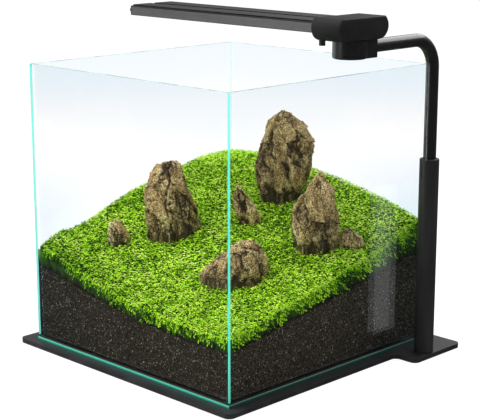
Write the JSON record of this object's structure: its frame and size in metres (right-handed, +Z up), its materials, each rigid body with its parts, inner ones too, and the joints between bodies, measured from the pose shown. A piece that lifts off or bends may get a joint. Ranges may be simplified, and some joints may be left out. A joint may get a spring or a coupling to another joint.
{
  "type": "aquarium",
  "caption": "Planted glass cube tank on a black base plate, with a telescopic corner post whose bent arm carries a swivelling LED bar lamp.",
  "frame": {"origin": "Centre of the glass tank's square footprint, on the underside of the foam pad, which is the surface the stand rests on.", "axes": "+X runs to the right along the front pane, towards the lamp's post; +Y runs to the back; +Z is up."},
  "size_m": [0.364, 0.33, 0.3725],
  "materials": {
    "foam_rubber": "matte",
    "coated_steel": "satin",
    "zinc_steel": "satin",
    "foot_metal": "satin",
    "black_steel": "satin",
    "black_nylon": "matte",
    "clear_glass": "gloss",
    "clear_silicone": "satin",
    "baked_soil": "matte",
    "carpet_plants": "matte",
    "brown_rock": "matte",
    "white_nylon": "matte",
    "black_tube": "satin",
    "hub_metal": "satin",
    "head_plastic": "satin",
    "bar_aluminium": "satin",
    "white_board": "matte",
    "led_phosphor": "gloss",
    "frosted_acrylic": "satin",
    "circuit_board": "satin",
    "plated_brass": "polished",
    "button_plastic": "satin"
  },
  "bodies": {
    "stand": {"foam_pad": "foam_rubber", "base_plate": "coated_steel", "post_screw": "zinc_steel", "locating_pin": "zinc_steel", "sleeve_foot": "foot_metal", "post_sleeve": "black_steel", "sleeve_bush": "black_nylon", "bottom_pane": "clear_glass", "front_pane": "clear_glass", "back_pane": "clear_glass", "left_pane": "clear_glass", "right_pane": "clear_glass", "silicone_beads": "clear_silicone", "soil": "baked_soil", "plant_carpet": "carpet_plants", "stone_left": "brown_rock", "stone_left_small": "brown_rock", "stone_back_tall": "brown_rock", "stone_slim": "brown_rock", "stone_right": "brown_rock", "stone_right_low": "brown_rock", "stone_front": "brown_rock"},
    "post_glide": {"tube_glide": "white_nylon"},
    "arm": {"arm_tube": "black_tube", "swivel_hub": "hub_metal", "clamp_screw": "zinc_steel", "friction_washer": "white_nylon", "hub_cap": "black_nylon"},
    "lamp": {"pivot_bolt": "zinc_steel", "spring_washer": "zinc_steel", "pivot_nut": "zinc_steel", "head_housing": "head_plastic", "head_cover": "head_plastic", "cover_screws": "zinc_steel", "bar_screws": "zinc_steel", "led_bar": "bar_aluminium", "bar_end_cap": "black_nylon", "cap_screws": "zinc_steel", "led_board": "white_board", "led_chips": "led_phosphor", "diffuser": "frosted_acrylic", "driver_board": "circuit_board", "switch_body": "black_nylon", "dc_socket": "black_nylon", "dc_pin": "plated_brass"},
    "button": {"switch_button": "button_plastic"}
  },
  "joints": [
    {"name": "arm_height", "type": "slide", "parent": "stand", "child": "post_glide", "axis": [0, 0, 1], "range_m": [-0.018, 0.08]},
    {"name": "arm_swing", "type": "hinge", "parent": "post_glide", "child": "arm", "pos_m": [0.177, 0.117, 0.342], "axis": [0, 0, 1], "range_deg": [-180, 180]},
    {"name": "lamp_swivel", "type": "hinge", "parent": "arm", "child": "lamp", "pos_m": [0.177, -0.014, 0.342], "axis": [0, 0, 1], "range_deg": [-90, 90]},
    {"name": "switch_press", "type": "slide", "parent": "lamp", "child": "button", "axis": [0, 0, 1], "range_m": [0, 0.0015], "stiffness_N_per_m": 600}
  ]
}
